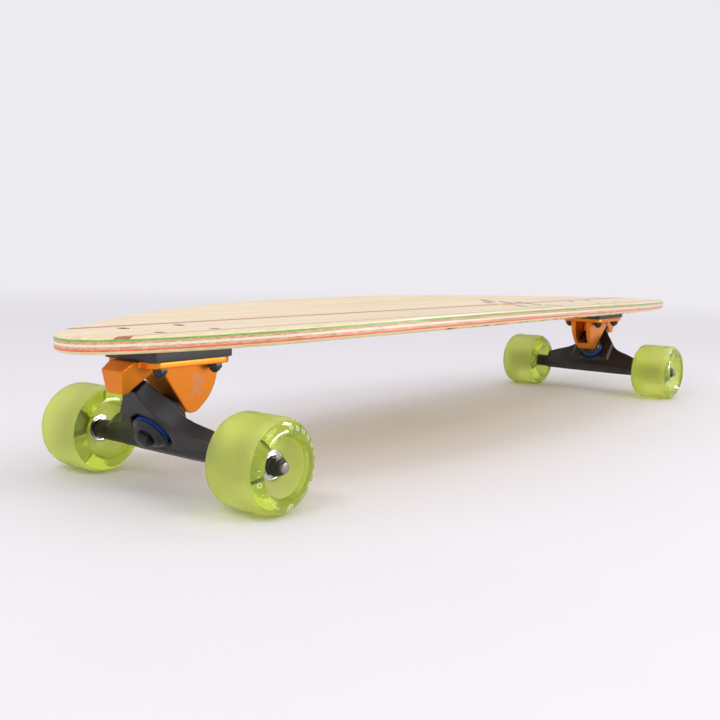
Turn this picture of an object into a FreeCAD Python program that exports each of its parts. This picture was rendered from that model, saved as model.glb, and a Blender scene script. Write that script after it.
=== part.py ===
"""A pintail cruiser longboard on two reverse-kingpin trucks.

Frame: +X towards the nose, +Y towards the rider's left, +Z up. The origin is on the ground,
below the middle of the deck's length, so the four wheels rest on z = 0.
Each truck is drawn once in its own frame (origin at the axle's centre, +X towards the board's
nearer end) and then placed under the nose, or turned half round and placed under the tail.
Inside a truck, the hanger and all that sits on the kingpin are drawn in the kingpin's frame:
+X along the pivot axis, +Z along the kingpin towards its nut, origin where the two axes cross.
"""
import FreeCAD
import Part
import math
import os
from FreeCAD import Placement, Rotation, Vector

# --- deck -------------------------------------------------------------------------------
DECK_LENGTH = 1050.0
DECK_WIDTH = 238.0
WIDEST_X = 65.0                 # where the outline is widest, forward of the middle
NOSE_WIDTH = 140.0              # outline width above the front axle
TAIL_WIDTH = 157.0              # outline width above the rear axle
NOSE_RADIUS = 34.0              # the nose's round end
NOSE_SWEEP = 54.0               # degrees of that arc on each side of the centreline
TAIL_RADIUS = 40.0
TAIL_SWEEP = 70.0
CONCAVE_RADIUS = 650.0          # radius of the deck's hollow, seen from its end
PLIES = [                       # name and thickness, from the top face down
    ("deck_top_ply", 2.1),
    ("deck_green_ply", 1.4),
    ("deck_core_upper_ply", 1.8),
    ("deck_core_middle_ply", 1.8),
    ("deck_core_lower_ply", 1.8),
    ("deck_red_ply", 1.4),
    ("deck_bottom_ply", 2.2),
]
STRINGER_WIDTH = 6.0            # the two inlaid strips in the top ply
STRINGER_OFFSET = 33.5          # centreline of a strip, from the deck's centreline

# --- where the trucks are ---------------------------------------------------------------
WHEELBASE = 762.0
FRONT_AXLE_X = 431.0

# --- wheels and bearings ----------------------------------------------------------------
WHEEL_RADIUS = 35.0
WHEEL_WIDTH = 52.0
LIP_RADIUS = 11.0               # rounding between the tread and each side face
DISH_DEPTH = 12.4               # the side face sinks this far before the bearing's pocket
DISH_FLOOR_RADIUS = 12.0
DISH_HOLLOW = 1.5               # how far the dish's wall bows in from a straight cone
BEARING_OUTER_RADIUS = 11.0     # a 608 bearing: 8 x 22 x 7
BEARING_BORE_RADIUS = 4.0
BEARING_WIDTH = 7.0
BEARING_DEPTH = 14.0            # from the wheel's side face to the bearing's side face
BEARING_SHOULDER_RADIUS = 9.6   # the wheel's own bore between its two bearings
OUTER_RING_WALL = 1.9
INNER_RING_WALL = 2.1
BALL_RADIUS = 1.95
BALL_COUNT = 7
BALL_CLEARANCE = 0.05
SHIELD_THICKNESS = 0.3
SHIELD_GAP = 0.35               # between a shield and the inner ring
SPACER_RADIUS = 5.6

# --- axle and its hardware --------------------------------------------------------------
AXLE_FIT = 0.03                 # radial clearance of the axle in its bearings and the hanger
AXLE_LENGTH = 240.0
AXLE_CHAMFER = 0.8
SPEED_WASHER_RADIUS = 6.2
SPEED_WASHER_THICKNESS = 1.0
AXLE_NUT_FLATS = 12.7
AXLE_NUT_HEIGHT = 8.0

# --- truck ------------------------------------------------------------------------------
TRUCK_HEIGHT = 67.0             # axle centre to the baseplate's top face
RISER_THICKNESS = 8.0
RISER_MARGIN = 0.6              # how far the riser stands out past the baseplate
PLATE_LENGTH = 78.0
PLATE_WIDTH = 55.5
PLATE_THICKNESS = 5.0
PLATE_CORNER_RADIUS = 8.0
BOLT_SPACING_X = 54.0
BOLT_SPACING_Y = 41.3
BOLT_RADIUS = 2.4
BOLT_HEAD_RADIUS = 4.8
BOLT_HOLE_CLEARANCE = 0.2
BOLT_TIP = 1.4                  # thread left standing past its nut
BOLT_NUT_FLATS = 9.5
BOLT_NUT_HEIGHT = 6.0

PIVOT_ANGLE = 50.0              # the pivot axis, above level
RING_CENTRE = (9.2, 19.1)      # x and z of the hanger's ring, from the axle
KINGPIN_RADIUS = 4.76
KINGPIN_CLEARANCE = 0.15
KINGPIN_HEAD_FLATS = 14.2
KINGPIN_HEAD_HEIGHT = 6.0
KINGPIN_NUT_FLATS = 14.2
KINGPIN_NUT_HEIGHT = 5.4
KINGPIN_TIP = 0.5               # thread left standing past the nut
COLLAR_SHARE = 0.32             # the round collar's part of a lock nut's height
PIVOT_PIN_RADIUS = 5.0
PIVOT_PIN_CLEARANCE = 0.05
PIVOT_CUP_RADIUS = 7.0
PIVOT_CUP_LIP = 1.2             # how far the cup stands out of its housing
PIVOT_CUP_DEPTH = 12.0
PIVOT_CUP_FLOOR = 1.5

HOUSING_FRONT_S = -16.5         # kingpin housing's face, along the kingpin from the ring
HEAD_SEAT_S = -31.0             # the seat of the kingpin's head
NUT_SEAT_S = 18.2               # the seat of the kingpin's nut
POCKET_HALF_WIDTH = 7.6
BUSHING_RADIUS = 14.6
BUSHING_END_RADIUS = 8.6
BUSHING_EDGE = 5.0              # height of the slope at each end of a bushing
CUP_WASHER_OVERHANG = 0.4       # how far a cup's rim stands out past the bushing
CUP_DOME_RADIUS = 13.0          # the raised part of a cup, inside its skirt
CUP_DOME_DEPTH = 2.9            # from a cup's flat back to the foot of its dome
CUP_WASHER_THICKNESS = 1.4
CUP_WASHER_DEPTH = 5.2          # from a cup's flat back to its rim
CUP_WASHER_GAP = 0.2

RING_BACK_S = -6.0              # back of the hanger's ring round the kingpin
RING_HALF_WIDTH = 24.5
RING_WEB = 2.5                  # half the thickness of the web the bushings press on
RING_HOLE_RADIUS = 7.2
RECESS_ROOM = 0.8               # between a bushing and the hanger's recess
RECESS_FLARE = 4.0              # how much wider and higher the recess's flared mouth is
RELIEF_HALF_WIDTH = 18.4        # the recess is wider at each side, where the cups tip towards it
RELIEF_HALF_LENGTH = 12.5
HANGER_FACE_S = 12.0            # the hanger's flat outboard face
FACE_CROWN = 2.4                # how far the face falls away towards the beam's ends
BEAM_RADIUS = 7.8
BEAM_END_Y = 83.2
BEAM_ROUND_Y = 64.0             # from here outwards the beam is round, to go inside the wheel
NECK_RADIUS = 8.2
NECK_END = 38.2                 # along the pivot axis, where the neck meets the pivot pin
PIVOT_PIN_END = 51.7

# --- worked out from the values above ---------------------------------------------------
AXLE_RADIUS = BEARING_BORE_RADIUS - AXLE_FIT
CUP_WASHER_RADIUS = BUSHING_RADIUS + CUP_WASHER_OVERHANG
RECESS_RADIUS = BUSHING_RADIUS + RECESS_ROOM
RECESS_MOUTH_RADIUS = RECESS_RADIUS + RECESS_FLARE
DECK_THICKNESS = sum(thickness for _, thickness in PLIES)
PLATE_TOP = TRUCK_HEIGHT
PLATE_UNDER = PLATE_TOP - PLATE_THICKNESS
DECK_UNDER = PLATE_TOP + RISER_THICKNESS            # at the centreline, in the truck's frame
DECK_TOP = DECK_UNDER + DECK_THICKNESS
PIVOT_DIR = Vector(math.cos(math.radians(PIVOT_ANGLE)), 0, math.sin(math.radians(PIVOT_ANGLE)))
KINGPIN_DIR = Vector(PIVOT_DIR.z, 0, -PIVOT_DIR.x)
RING_POINT = Vector(RING_CENTRE[0], 0, RING_CENTRE[1])
AXLE_T = -RING_POINT.dot(PIVOT_DIR)                 # the axle, in the kingpin's frame
AXLE_S = -RING_POINT.dot(KINGPIN_DIR)
INNER_BEARING_Y = BEAM_END_Y + SPEED_WASHER_THICKNESS
OUTER_FACE_Y = INNER_BEARING_Y - BEARING_DEPTH + WHEEL_WIDTH
OUTER_BEARING_Y = OUTER_FACE_Y - BEARING_DEPTH - BEARING_WIDTH
WHEEL_CENTRE_Y = OUTER_FACE_Y - WHEEL_WIDTH / 2
BALL_ORBIT = (BEARING_BORE_RADIUS + INNER_RING_WALL + BEARING_OUTER_RADIUS - OUTER_RING_WALL) / 2
BOLT_PLACES = [(sx * BOLT_SPACING_X / 2, sy * BOLT_SPACING_Y / 2) for sx in (1, -1) for sy in (1, -1)]

KINGPIN_FRAME = Placement(RING_POINT, Rotation(PIVOT_DIR, Vector(0, -1, 0), KINGPIN_DIR, "ZXY"))
TRUCK_FRAMES = {
    "front": Placement(Vector(FRONT_AXLE_X, 0, WHEEL_RADIUS), Rotation()),
    "rear": Placement(Vector(FRONT_AXLE_X - WHEELBASE, 0, WHEEL_RADIUS), Rotation(Vector(0, 0, 1), 180)),
}


# --- small helpers ----------------------------------------------------------------------
def placed(shape, placement):
    """The shape, moved by a placement."""
    moved = shape.copy()
    moved.Placement = placement.multiply(moved.Placement)
    return moved


def cylinder(radius, start, end, axis="z", centre=(0, 0, 0)):
    """A cylinder along one axis, between two places on that axis."""
    direction = {"x": Vector(1, 0, 0), "y": Vector(0, 1, 0), "z": Vector(0, 0, 1)}[axis]
    base = Vector(*centre) + direction * start
    return Part.makeCylinder(radius, end - start, base, direction)


def hexagon(flats, start, end):
    """A hexagonal prism about Z, with its size across flats."""
    radius = flats / math.sqrt(3)
    turns = [math.radians(60 * i) for i in range(7)]
    corners = [Vector(radius * math.cos(a), radius * math.sin(a), start) for a in turns]
    return Part.Face(Part.makePolygon(corners)).extrude(Vector(0, 0, end - start))


def lock_nut(flats, start, end, bore):
    """A lock nut about Z: a hexagon with its corners turned off, then a round collar."""
    outer = flats / math.sqrt(3)
    shoulder = end - COLLAR_SHARE * (end - start)
    barrel = turned([(0, start), (outer - 0.8, start), (outer, start + 0.5), (outer, shoulder - 0.5),
                     (outer - 0.8, shoulder), (0, shoulder)])
    collar_radius = 0.44 * flats
    collar = turned([(0, start), (collar_radius, start), (collar_radius, end - 0.6),
                     (collar_radius - 0.6, end), (0, end)])
    return fused(hexagon(flats, start, end).common(barrel), collar).cut(cylinder(bore, start, end))


def turned(outline):
    """A solid turned about Z from (radius, height) points."""
    points = [Vector(r, 0, h) for r, h in outline]
    face = Part.Face(Part.makePolygon(points + points[:1]))
    return face.revolve(Vector(0, 0, 0), Vector(0, 0, 1), 360)


def prism(outline, thickness, plane="xz"):
    """A closed outline in one plane, carried half the thickness to each side of it. Each step is
    a point that a line runs to, or a pair of points: the middle and the end of an arc."""
    def place(point):
        a, b = point
        return Vector(a, -thickness / 2, b) if plane == "xz" else Vector(-thickness / 2, a, b)

    edges = []
    here = place(outline[0])
    for step in outline[1:] + outline[:1]:
        if isinstance(step[0], tuple):
            middle, end = place(step[0]), place(step[1])
            edges.append(Part.Arc(here, middle, end).toShape())
        else:
            end = place(step)
            edges.append(Part.makeLine(here, end))
        here = end
    sweep = Vector(0, thickness, 0) if plane == "xz" else Vector(thickness, 0, 0)
    return Part.Face(Part.Wire(edges)).extrude(sweep)


def rounded_plate(length, width, corner, bottom, top):
    """A rectangular plate with round corners."""
    block = Part.makeBox(length, width, top - bottom, Vector(-length / 2, -width / 2, bottom))
    upright = [edge for edge in block.Edges
               if abs(edge.Vertexes[0].Z - edge.Vertexes[1].Z) > 0.5 * (top - bottom)]
    return block.makeFillet(corner, upright)


def fused(first, *others):
    """One solid from several that touch, with its leftover seams removed."""
    return first.multiFuse(list(others)).removeSplitter()


# --- deck -------------------------------------------------------------------------------
def deck_outline():
    """The closed outline: a round nose, a round tail, and one smooth flank on each side."""
    nose_centre = DECK_LENGTH / 2 - NOSE_RADIUS
    tail_centre = -DECK_LENGTH / 2 + TAIL_RADIUS
    nose = math.radians(NOSE_SWEEP)
    tail = math.radians(TAIL_SWEEP)
    nose_end = Vector(nose_centre + NOSE_RADIUS * math.cos(nose), NOSE_RADIUS * math.sin(nose), 0)
    tail_end = Vector(tail_centre - TAIL_RADIUS * math.cos(tail), TAIL_RADIUS * math.sin(tail), 0)
    rear_axle_x = FRONT_AXLE_X - WHEELBASE
    flank = [
        nose_end,
        Vector(FRONT_AXLE_X, NOSE_WIDTH / 2, 0),
        Vector(WIDEST_X, DECK_WIDTH / 2, 0),
        Vector(rear_axle_x, TAIL_WIDTH / 2, 0),
        tail_end,
    ]
    along = Vector(-1, 0, 0)
    slopes = [Vector(-math.sin(nose), math.cos(nose), 0), along, along, along,
              Vector(-math.sin(tail), -math.cos(tail), 0)]
    known = [True, False, True, False, True]
    left = Part.BSplineCurve()
    left.interpolate(Points=flank, Tangents=slopes, TangentFlags=known)
    right_flank = [Vector(p.x, -p.y, 0) for p in reversed(flank)]
    right = Part.BSplineCurve()
    right.interpolate(Points=right_flank, Tangents=[Vector(-t.x, t.y, 0) for t in reversed(slopes)],
                      TangentFlags=known)
    tail_tip = Vector(-DECK_LENGTH / 2, 0, 0)
    nose_tip = Vector(DECK_LENGTH / 2, 0, 0)
    return Part.Wire([
        left.toShape(),
        Part.Arc(tail_end, tail_tip, right_flank[0]).toShape(),
        right.toShape(),
        Part.Arc(right_flank[-1], nose_tip, nose_end).toShape(),
    ])


def trough(upper_radius, lower_radius, half_width, length):
    """The sheet between two cylinders about the concave's axis, as wide and long as given."""
    axis_z = WHEEL_RADIUS + DECK_TOP + CONCAVE_RADIUS
    half_angle = math.asin(half_width / CONCAVE_RADIUS)

    def on(radius, angle):
        return Vector(-length / 2, radius * math.sin(angle), axis_z - radius * math.cos(angle))

    up_left, up_mid, up_right = [on(upper_radius, half_angle * i) for i in (-1, 0, 1)]
    low_left, low_mid, low_right = [on(lower_radius, half_angle * i) for i in (-1, 0, 1)]
    upper = Part.Arc(up_left, up_mid, up_right).toShape()
    lower = Part.Arc(low_right, low_mid, low_left).toShape()
    right = Part.makeLine(up_right, low_right)
    left = Part.makeLine(low_left, up_left)
    return Part.Face(Part.Wire([upper, right, lower, left])).extrude(Vector(length, 0, 0))


def deck_parts():
    """The plies, cut to the outline, with the strips inlaid and the bolt holes drilled."""
    wall = Part.Face(deck_outline()).extrude(Vector(0, 0, 2 * (DECK_TOP + WHEEL_RADIUS)))
    bolts = [bolt_hole(place) for place in TRUCK_FRAMES.values()]
    drill = bolts[0].multiFuse(bolts[1:])
    parts = {}
    radius = CONCAVE_RADIUS
    for name, thickness in PLIES:
        sheet = trough(radius, radius + thickness, DECK_WIDTH * 0.6, DECK_LENGTH * 1.1)
        parts[name] = sheet.common(wall).cut(drill)
        radius += thickness
    top_name, top_thickness = PLIES[0]
    strips = []
    for side in (1, -1):
        near = STRINGER_OFFSET - STRINGER_WIDTH / 2
        start = near if side > 0 else -near - STRINGER_WIDTH
        strips.append(Part.makeBox(2 * DECK_LENGTH, STRINGER_WIDTH, DECK_TOP,
                                   Vector(-DECK_LENGTH, start, WHEEL_RADIUS + DECK_UNDER)))
    inlay = Part.makeCompound(strips)
    parts["deck_stringers"] = parts[top_name].common(inlay)
    parts[top_name] = parts[top_name].cut(inlay)
    return parts


def bolt_head_top():
    """Height of a countersunk head's flat top, level with the hollow deck beside it."""
    rise = CONCAVE_RADIUS - math.sqrt(CONCAVE_RADIUS ** 2 - (BOLT_SPACING_Y / 2) ** 2)
    return DECK_TOP + rise


def bolt_hole(truck_frame):
    """The four stepped holes of one truck: a clearance bore with a countersink on top."""
    top = bolt_head_top()
    bore = BOLT_RADIUS + BOLT_HOLE_CLEARANCE
    sink = BOLT_HEAD_RADIUS + BOLT_HOLE_CLEARANCE
    holes = []
    for x, y in BOLT_PLACES:
        hole = turned([(0, PLATE_UNDER - 1), (bore, PLATE_UNDER - 1), (bore, top - sink + bore),
                       (sink, top), (sink, top + BOLT_HEAD_RADIUS), (0, top + BOLT_HEAD_RADIUS)])
        holes.append(placed(hole, Placement(Vector(x, y, 0), Rotation())))
    return placed(Part.makeCompound(holes), truck_frame)


# --- truck, the part that is bolted to the deck -----------------------------------------
def baseplate():
    """A flat plate with two lugs below it: a kingpin housing inboard, a pivot housing outboard."""
    plate = rounded_plate(PLATE_LENGTH, PLATE_WIDTH, PLATE_CORNER_RADIUS, PLATE_UNDER, PLATE_TOP)
    root = PLATE_UNDER + PLATE_THICKNESS / 2
    face_low = RING_POINT + KINGPIN_DIR * HOUSING_FRONT_S - PIVOT_DIR * 5.8
    face_high = face_low + PIVOT_DIR * ((root - face_low.z) / PIVOT_DIR.z)
    housing = prism([(-36, root), (-36, 54), ((-32.4, 38.5), (-23, 27.2)),
                     ((-15.6, 23.0), (face_low.x, face_low.z)), (face_high.x, face_high.z)], 40)
    taper = prism([(-15.5, root), (-10, 22), (10, 22), (15.5, root)], 200, "yz")
    lug = prism([(14, root), (17, 60), ((22.6, 58.6), (27, 56.2)), (34.4, 51.6), (45.4, 43.9),
                 ((46.9, 43.2), (48.5, 43.2)), (50.6, 43.5), ((51.8, 44), (52.3, 45.3)), (54.3, 60.4),
                 (45, PLATE_TOP - 0.4), (36, PLATE_TOP - 0.4)], 60)
    lug_taper = prism([(-13.5, PLATE_TOP), (-11.8, 60), (-8.3, 43),
                       (8.3, 43), (11.8, 60), (13.5, PLATE_TOP)], 200, "yz")
    body = fused(plate, housing.common(taper), lug.common(lug_taper))
    seat = RING_POINT + KINGPIN_DIR * HEAD_SEAT_S
    low = seat - PIVOT_DIR * (KINGPIN_HEAD_FLATS / 2 + 1.6)
    high = seat + PIVOT_DIR * (KINGPIN_HEAD_FLATS / 2 + 2.4)
    pocket = prism([(low.x, low.z), (high.x, high.z), (high.x, PLATE_UNDER),
                    (-60, PLATE_UNDER), (-60, low.z)], 2 * POCKET_HALF_WIDTH)
    kingpin_hole = placed(cylinder(KINGPIN_RADIUS + KINGPIN_CLEARANCE, HEAD_SEAT_S - 1, 0), KINGPIN_FRAME)
    cup_start = NECK_END + PIVOT_CUP_LIP + 2.0
    cup_hole = placed(cylinder(PIVOT_CUP_RADIUS, 0, cup_start + PIVOT_CUP_DEPTH, "x"), KINGPIN_FRAME)
    bolt_bore = BOLT_RADIUS + BOLT_HOLE_CLEARANCE
    holes = [cylinder(bolt_bore, 0, DECK_TOP, "z", (x, y, 0)) for x, y in BOLT_PLACES]
    return body.cut(pocket).cut(kingpin_hole).cut(cup_hole).cut(Part.makeCompound(holes))


def riser_pad(truck_frame):
    """The rubber pad between baseplate and deck, hollowed on top to the deck's underside."""
    pad = rounded_plate(PLATE_LENGTH + 2 * RISER_MARGIN, PLATE_WIDTH + 2 * RISER_MARGIN,
                        PLATE_CORNER_RADIUS / 2, PLATE_TOP, DECK_TOP)
    radius = CONCAVE_RADIUS + DECK_THICKNESS
    above = Part.makeCylinder(radius, 3 * PLATE_LENGTH,
                              Vector(-1.5 * PLATE_LENGTH, 0, DECK_TOP + CONCAVE_RADIUS), Vector(1, 0, 0))
    return placed(pad.cut(above), truck_frame).cut(bolt_hole(truck_frame))


def pivot_cup():
    """The plastic cup that the hanger's pin turns in."""
    start = NECK_END + 2.0
    end = start + PIVOT_CUP_LIP + PIVOT_CUP_DEPTH
    bore = cylinder(PIVOT_PIN_RADIUS + PIVOT_PIN_CLEARANCE, 0, end - PIVOT_CUP_FLOOR + 0.6, "x")
    return cylinder(PIVOT_CUP_RADIUS, start, end, "x").cut(bore)


def kingpin():
    """The hexagon-headed bolt through the housing, bushings and hanger."""
    head = hexagon(KINGPIN_HEAD_FLATS, HEAD_SEAT_S - KINGPIN_HEAD_HEIGHT, HEAD_SEAT_S)
    shank = cylinder(KINGPIN_RADIUS, HEAD_SEAT_S, NUT_SEAT_S + KINGPIN_NUT_HEIGHT + KINGPIN_TIP)
    return fused(head, shank)


def bushing(side, seat_s):
    """A rubber ring between the hanger's web and a cup washer, sloping in at the washer's end."""
    inner = RING_WEB
    outer = seat_s - CUP_WASHER_THICKNESS
    bore = KINGPIN_RADIUS + KINGPIN_CLEARANCE
    outline = [(bore, inner), (BUSHING_RADIUS - 0.8, inner), (BUSHING_RADIUS, inner + 0.8),
               (BUSHING_RADIUS, outer - BUSHING_EDGE), (BUSHING_END_RADIUS, outer), (bore, outer)]
    return turned([(r, side * s) for r, s in outline])


def cup_washer(side, seat_s):
    """A pressed steel cup: a flat back, a dome, and a skirt round the bushing's sloping end."""
    inner = seat_s - CUP_WASHER_THICKNESS
    rim = seat_s - CUP_WASHER_DEPTH
    foot = seat_s - CUP_DOME_DEPTH
    bore = KINGPIN_RADIUS + KINGPIN_CLEARANCE
    slope = (BUSHING_RADIUS - BUSHING_END_RADIUS) / BUSHING_EDGE
    seat = BUSHING_END_RADIUS + CUP_WASHER_GAP
    rim_seat = seat + slope * (inner - rim)
    outline = [(bore, seat_s), (seat, seat_s), (seat + 3.2, seat_s - 0.9), (CUP_DOME_RADIUS, foot),
               (CUP_WASHER_RADIUS, rim + 0.9), (CUP_WASHER_RADIUS, rim), (rim_seat, rim), (seat, inner),
               (bore, inner)]
    return turned([(r, side * s) for r, s in outline])


def mounting_bolt(x, y):
    """A countersunk bolt from the deck's top face to just past its nut."""
    top = bolt_head_top()
    tip = PLATE_UNDER - BOLT_NUT_HEIGHT - BOLT_TIP
    bolt = turned([(0, tip), (BOLT_RADIUS - 0.4, tip), (BOLT_RADIUS, tip + 0.4),
                   (BOLT_RADIUS, top - BOLT_HEAD_RADIUS + BOLT_RADIUS), (BOLT_HEAD_RADIUS, top), (0, top)])
    cross = Part.makeBox(4.4, 1.0, 1.6, Vector(-2.2, -0.5, top - 1.4))
    slots = cross.fuse(placed(cross, Placement(Vector(0, 0, 0), Rotation(Vector(0, 0, 1), 90))))
    return placed(bolt.cut(slots), Placement(Vector(x, y, 0), Rotation()))


def mounting_nut(x, y):
    """A lock nut below the baseplate."""
    hanging = Placement(Vector(x, y, PLATE_UNDER), Rotation(Vector(1, 0, 0), 180))
    return placed(lock_nut(BOLT_NUT_FLATS, 0, BOLT_NUT_HEIGHT, BOLT_RADIUS), hanging)


# --- truck, the part that steers --------------------------------------------------------
def hanger():
    """A flat-faced triangular casting: a ring on the kingpin, a neck to the pivot, and a beam
    that holds the axle. Drawn in the kingpin's frame, where the face is level."""
    bottom = AXLE_T - BEAM_RADIUS
    arm_back = AXLE_S - BEAM_RADIUS
    left_edge = [Vector(AXLE_T + BEAM_RADIUS + 3.5, BEAM_ROUND_Y, 0), Vector(-2.3, 50, 0),
                 Vector(5.7, 32, 0), Vector(20.2, 20, 0),
                 Vector(NECK_END - 6, NECK_RADIUS + 2.4, 0), Vector(NECK_END, NECK_RADIUS, 0)]
    right_edge = [Vector(p.x, -p.y, 0) for p in reversed(left_edge)]
    sides = []
    for points in (left_edge, right_edge):
        curve = Part.BSplineCurve()
        curve.interpolate(Points=points)
        sides.append(curve.toShape())
    corners = [Vector(bottom, BEAM_ROUND_Y, 0), Vector(bottom, -BEAM_ROUND_Y, 0)]
    outline = Part.Wire([
        sides[0],
        Part.makeLine(left_edge[-1], right_edge[0]),
        sides[1],
        Part.makeLine(right_edge[-1], corners[1]),
        Part.makeLine(corners[1], corners[0]),
        Part.makeLine(corners[0], left_edge[0]),
    ])
    deep = HANGER_FACE_S - RING_BACK_S
    slab = placed(Part.Face(outline), Placement(Vector(0, 0, RING_BACK_S - 1), Rotation()))
    slab = slab.extrude(Vector(0, 0, deep + 1))
    # across the board: a thick ring between two thinner arms, with a face that falls away outwards
    half = BEAM_ROUND_Y + 1
    arm_face = HANGER_FACE_S - FACE_CROWN
    plan = prism([(-half, arm_face), (-RING_HALF_WIDTH, HANGER_FACE_S), (RING_HALF_WIDTH, HANGER_FACE_S),
                  (half, arm_face), (half, arm_back), (RING_HALF_WIDTH + 3, arm_back),
                  (RING_HALF_WIDTH, RING_BACK_S), (-RING_HALF_WIDTH, RING_BACK_S),
                  (-RING_HALF_WIDTH - 3, arm_back), (-half, arm_back)], 400, "yz")
    # along the board: slim at the beam's lower edge and at the neck
    edge_view = prism([(bottom, AXLE_S - 4), ((bottom + 1.2, arm_back + 1), (bottom + 4, arm_back)),
                       (-16.8, arm_back), (-13.8, RING_BACK_S), (21.2, RING_BACK_S),
                       (NECK_END, -NECK_RADIUS), (NECK_END, NECK_RADIUS - 1), (19.2, HANGER_FACE_S),
                       (bottom + 3, HANGER_FACE_S),
                       ((bottom + 0.8, HANGER_FACE_S - 1), (bottom, HANGER_FACE_S - 3))], 400)
    body = slab.common(plan).common(edge_view)
    beam = cylinder(BEAM_RADIUS, -BEAM_END_Y, BEAM_END_Y, "y", (AXLE_T, 0, AXLE_S))
    pin = cylinder(PIVOT_PIN_RADIUS, NECK_END - 1, PIVOT_PIN_END, "x")
    ball = PIVOT_PIN_RADIUS * 1.25
    pin_end = Part.makeSphere(ball, Vector(PIVOT_PIN_END - ball, 0, 0))
    round_tip = fused(cylinder(PIVOT_PIN_RADIUS * 2, 0, PIVOT_PIN_END - 3.75, "x"), pin_end)
    body = fused(body, beam, pin.common(round_tip))
    above = HANGER_FACE_S + 9
    face_recess = turned([(0, RING_WEB), (RECESS_RADIUS, RING_WEB),
                          (RECESS_RADIUS, HANGER_FACE_S - RECESS_FLARE),
                          (RECESS_MOUTH_RADIUS, HANGER_FACE_S), (RECESS_MOUTH_RADIUS, above), (0, above)])
    relief = cylinder(RELIEF_HALF_WIDTH, RING_WEB, HANGER_FACE_S).common(
        Part.makeBox(2 * RELIEF_HALF_LENGTH, 2 * RELIEF_HALF_WIDTH, HANGER_FACE_S,
                     Vector(-RELIEF_HALF_LENGTH, -RELIEF_HALF_WIDTH, RING_WEB)))
    back_recess = cylinder(RECESS_RADIUS, RING_BACK_S - 9, -RING_WEB)
    web_hole = cylinder(RING_HOLE_RADIUS, -RING_WEB, RING_WEB)
    bore = cylinder(BEARING_BORE_RADIUS, -BEAM_END_Y, BEAM_END_Y, "y", (AXLE_T, 0, AXLE_S))
    return body.cut(face_recess).cut(relief).cut(back_recess).cut(web_hole).cut(bore)


def axle():
    """A plain steel rod through the hanger and both wheels."""
    half = AXLE_LENGTH / 2
    rod = turned([(0, -half), (AXLE_RADIUS - AXLE_CHAMFER, -half), (AXLE_RADIUS, -half + AXLE_CHAMFER),
                  (AXLE_RADIUS, half - AXLE_CHAMFER), (AXLE_RADIUS - AXLE_CHAMFER, half), (0, half)])
    return placed(rod, Placement(Vector(0, 0, 0), Rotation(Vector(1, 0, 0), -90)))


# --- wheels -----------------------------------------------------------------------------
def on_axle(shape, y, side):
    """A shape drawn about Z from 0 outwards, moved on to the axle at y on one side."""
    turn = Rotation(Vector(1, 0, 0), -90 if side > 0 else 90)
    return placed(shape, Placement(Vector(0, side * y, 0), turn))


def wheel():
    """A urethane tyre about Z with rounded lips, dished faces and a pocket for each bearing."""
    half = WHEEL_WIDTH / 2
    slant = LIP_RADIUS * math.sqrt(0.5)
    hollow = DISH_HOLLOW * math.sqrt(0.5)
    dish_r = (WHEEL_RADIUS - LIP_RADIUS + DISH_FLOOR_RADIUS) / 2 + hollow
    lip_y = half - LIP_RADIUS
    lip_r = WHEEL_RADIUS - LIP_RADIUS

    def half_profile(side):
        """Edges from the tread's middle to the bore's middle, on one side."""
        start = Vector(WHEEL_RADIUS, 0, side * lip_y)
        bulge = Vector(lip_r + slant, 0, side * (lip_y + slant))
        crown = Vector(lip_r, 0, side * half)
        dish_mid = Vector(dish_r, 0, side * (half - DISH_DEPTH / 2 - hollow))
        floor = Vector(DISH_FLOOR_RADIUS, 0, side * (half - DISH_DEPTH))
        mouth = Vector(BEARING_OUTER_RADIUS, 0, side * (half - DISH_DEPTH - 1.0))
        seat_out = Vector(BEARING_OUTER_RADIUS, 0, side * (half - BEARING_DEPTH - BEARING_WIDTH))
        seat_in = Vector(BEARING_SHOULDER_RADIUS, 0, seat_out.z)
        return [Part.Arc(start, bulge, crown).toShape(), Part.Arc(crown, dish_mid, floor).toShape(),
                Part.makeLine(floor, mouth), Part.makeLine(mouth, seat_out),
                Part.makeLine(seat_out, seat_in)]

    upper = half_profile(1)
    lower = half_profile(-1)
    tread = Part.makeLine(Vector(WHEEL_RADIUS, 0, -lip_y), Vector(WHEEL_RADIUS, 0, lip_y))
    inside = half - BEARING_DEPTH - BEARING_WIDTH
    shoulder = BEARING_SHOULDER_RADIUS
    bore = Part.makeLine(Vector(shoulder, 0, inside), Vector(shoulder, 0, -inside))
    wire = Part.Wire(Part.__sortEdges__(upper + lower + [tread, bore]))
    return Part.Face(wire).revolve(Vector(0, 0, 0), Vector(0, 0, 1), 360)


def bearing_ring(inner, outer):
    """One ring of a bearing with its ball groove, from 0 to the bearing's width."""
    ring = cylinder(outer, 0, BEARING_WIDTH).cut(cylinder(inner, 0, BEARING_WIDTH))
    groove = Part.makeTorus(BALL_ORBIT, BALL_RADIUS + BALL_CLEARANCE, Vector(0, 0, BEARING_WIDTH / 2))
    return ring.cut(groove)


def balls():
    """One bearing's set of balls."""
    places = [2 * math.pi * i / BALL_COUNT for i in range(BALL_COUNT)]
    middle = BEARING_WIDTH / 2
    centres = [Vector(BALL_ORBIT * math.cos(a), BALL_ORBIT * math.sin(a), middle) for a in places]
    return [Part.makeSphere(BALL_RADIUS, centre) for centre in centres]


def shield(start):
    """A thin metal shield, fixed in the outer ring and clear of the inner one."""
    outer = BEARING_OUTER_RADIUS - OUTER_RING_WALL
    inner = BEARING_BORE_RADIUS + INNER_RING_WALL + SHIELD_GAP
    disc = cylinder(outer, start, start + SHIELD_THICKNESS)
    return disc.cut(cylinder(inner, start, start + SHIELD_THICKNESS))


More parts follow.
